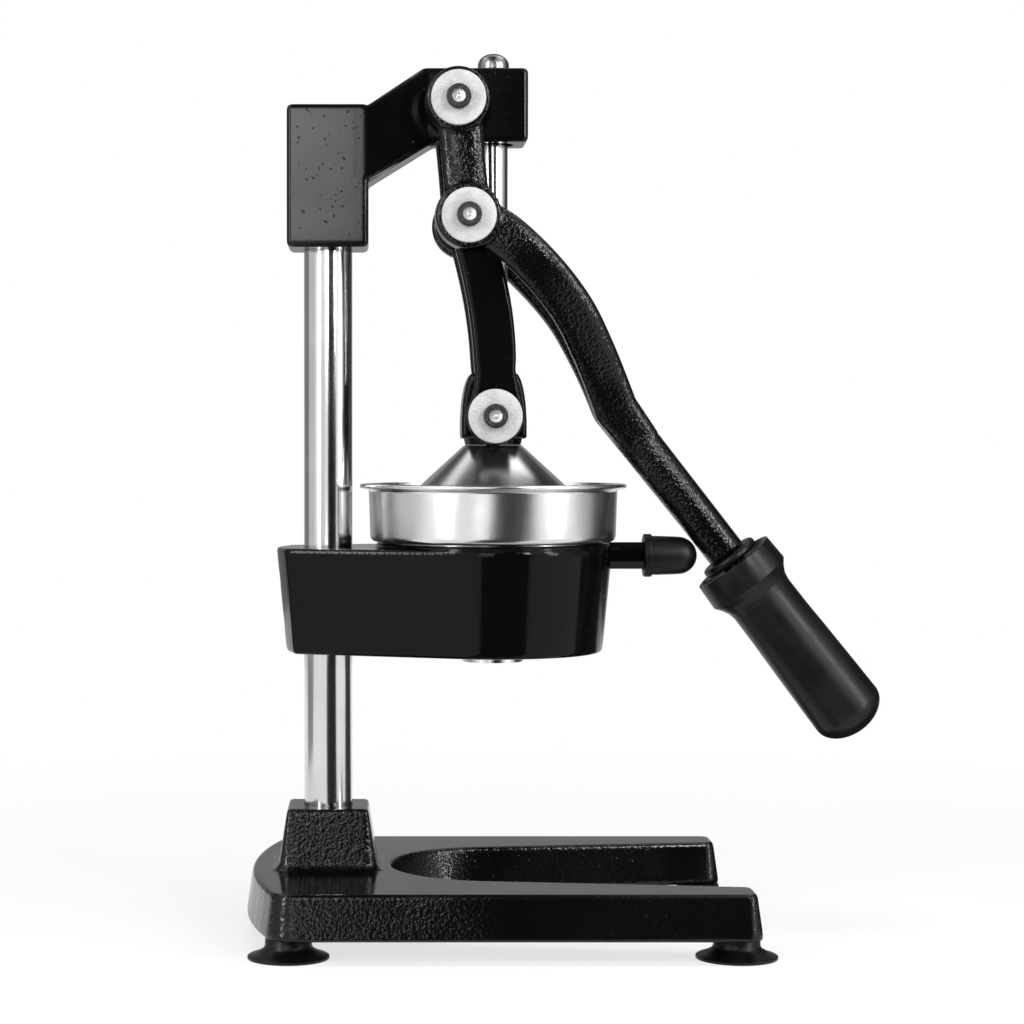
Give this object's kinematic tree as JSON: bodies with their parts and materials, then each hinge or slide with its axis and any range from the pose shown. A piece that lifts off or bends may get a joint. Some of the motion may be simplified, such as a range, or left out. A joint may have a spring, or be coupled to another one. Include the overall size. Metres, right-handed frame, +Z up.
{
  "type": "lever citrus juice press",
  "caption": "Hand press with a forked lever, curved links and a guided ram that drives a cone into a juice cup over a horseshoe base.",
  "frame": {"origin": "on the floor, under the middle of the bounding box", "axes": "+Z up, +X towards the open end of the base and the lever's grip, +Y across"},
  "size_m": [0.2944, 0.173, 0.4067],
  "materials": {
    "black_casting": "gloss black powder coat over a rough casting",
    "polished_steel": "polished",
    "brushed_steel": "brushed",
    "satin_aluminium": "satin",
    "matte_washer_steel": "matt plated",
    "dark_screw_steel": "dark plated",
    "bronze": "turned",
    "black_rubber": "moulded",
    "black_plastic": "moulded"
  },
  "bodies": {
    "frame": {"base_casting": "black_casting", "column": "polished_steel", "head_casting": "black_casting", "bowl_carrier": "black_casting", "stop_cap": "black_rubber", "column_washer": "matte_washer_steel", "column_bolt": "brushed_steel", "suction_foot_front_near": "black_rubber", "foot_screw_front_near": "brushed_steel", "suction_foot_front_far": "black_rubber", "foot_screw_front_far": "brushed_steel", "suction_foot_rear_near": "black_rubber", "foot_screw_rear_near": "brushed_steel", "suction_foot_rear_far": "black_rubber", "foot_screw_rear_far": "brushed_steel", "head_grub_lower": "dark_screw_steel", "head_grub_upper": "dark_screw_steel", "carrier_grub_lower": "dark_screw_steel", "carrier_grub_upper": "dark_screw_steel", "guide_bush_lower": "bronze", "guide_bush_upper": "bronze", "juice_cup": "brushed_steel", "strainer": "brushed_steel", "head_pivot_shaft": "brushed_steel", "head_pivot_washer_near": "matte_washer_steel", "head_pivot_screw_near": "dark_screw_steel", "head_pivot_washer_far": "matte_washer_steel", "head_pivot_screw_far": "dark_screw_steel"},
    "ram": {"press_cone": "satin_aluminium", "ram_block": "black_casting", "guide_rod": "polished_steel", "guide_rod_cap": "polished_steel", "cone_screw": "dark_screw_steel", "ram_pin": "brushed_steel", "ram_pin_washer_near": "matte_washer_steel", "ram_pin_screw_near": "dark_screw_steel", "ram_pin_washer_far": "matte_washer_steel", "ram_pin_screw_far": "dark_screw_steel"},
    "links": {"link_near": "black_casting", "link_stub_near": "brushed_steel", "link_far": "black_casting", "link_stub_far": "brushed_steel"},
    "lever": {"lever_yoke": "black_casting", "yoke_pin_near": "brushed_steel", "yoke_pin_washer_near": "matte_washer_steel", "yoke_pin_screw_near": "dark_screw_steel", "yoke_pin_far": "brushed_steel", "yoke_pin_washer_far": "matte_washer_steel", "yoke_pin_screw_far": "dark_screw_steel", "grip_ring": "black_rubber", "grip": "black_plastic"}
  },
  "joints": [
    {"name": "lever_swing", "type": "hinge", "parent": "frame", "child": "lever", "pos_m": [-0.05032, 0, 0.3816], "axis": [0, -1, 0], "range_deg": [0, 90]},
    {"name": "ram_slide", "type": "slide", "parent": "frame", "child": "ram", "axis": [0, 0, 1], "range_m": [0, 0.064]},
    {"name": "link_tilt", "type": "hinge", "parent": "ram", "child": "links", "pos_m": [-0.03302, 0, 0.2388], "axis": [0, -1, 0], "range_deg": [-31, 0]}
  ],
  "couplings": [
    {"joint": "ram_slide", "follows": "lever_swing", "m_per_rad": 0.040525},
    {"joint": "link_tilt", "follows": "lever_swing", "ratio": -0.34114}
  ]
}
